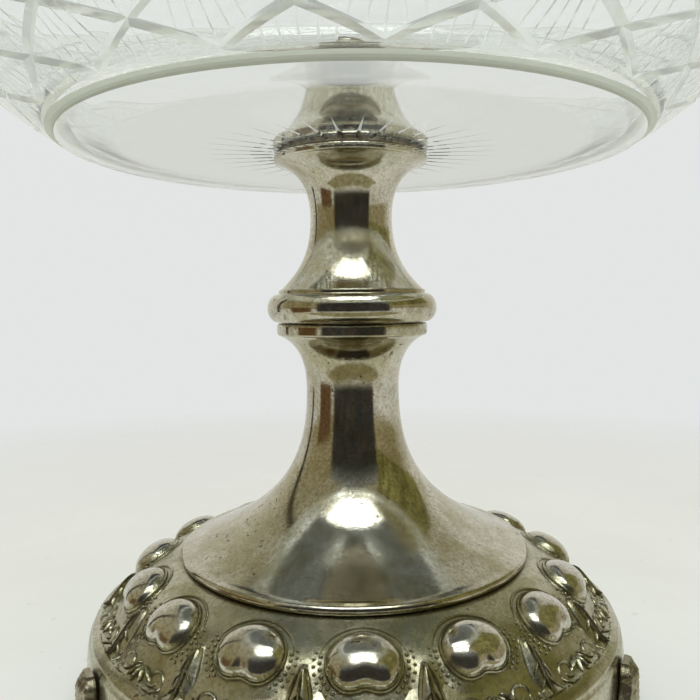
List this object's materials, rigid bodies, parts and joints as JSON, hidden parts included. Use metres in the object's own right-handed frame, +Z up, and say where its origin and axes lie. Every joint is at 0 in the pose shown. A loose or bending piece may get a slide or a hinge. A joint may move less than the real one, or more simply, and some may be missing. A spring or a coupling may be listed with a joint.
{
  "type": "footed glass dish",
  "caption": "Cut glass dish with a scalloped rim on a silver plated stem, with a ring knop and an embossed domed base on cast leaf feet.",
  "frame": {"origin": "on the table, under the centre of the stand, at the middle of the bottom of the part's box", "axes": "+Z up along the stem's axis, +Y towards the single foot at the back, so a viewer stands at -Y with a foot at each side"},
  "size_m": [0.2398, 0.2398, 0.2066],
  "materials": {
    "silver_plate": "polished silver plate, tarnished to a yellowish grey in patches and dark in the recesses",
    "cast_plate": "cast and plated, half polished, tarnished dark between the ribs",
    "steel": "dull",
    "cut_glass": "clear polished cut glass with a frosted ring cut under the edge of its floor",
    "cork": "pressed cork sheet"
  },
  "bodies": {
    "root": {"base_shell": "silver_plate", "base_wire": "silver_plate", "foot_back": "cast_plate", "foot_left": "cast_plate", "foot_right": "cast_plate", "lower_stem": "silver_plate", "knop": "silver_plate", "upper_stem": "silver_plate", "dish_plate": "silver_plate", "lower_gasket": "cork", "glass_dish": "cut_glass", "upper_gasket": "cork", "dish_washer": "silver_plate", "cap_nut": "silver_plate", "tie_rod": "steel", "clamp_washer": "steel", "base_nut": "steel"}
  },
  "joints": []
}
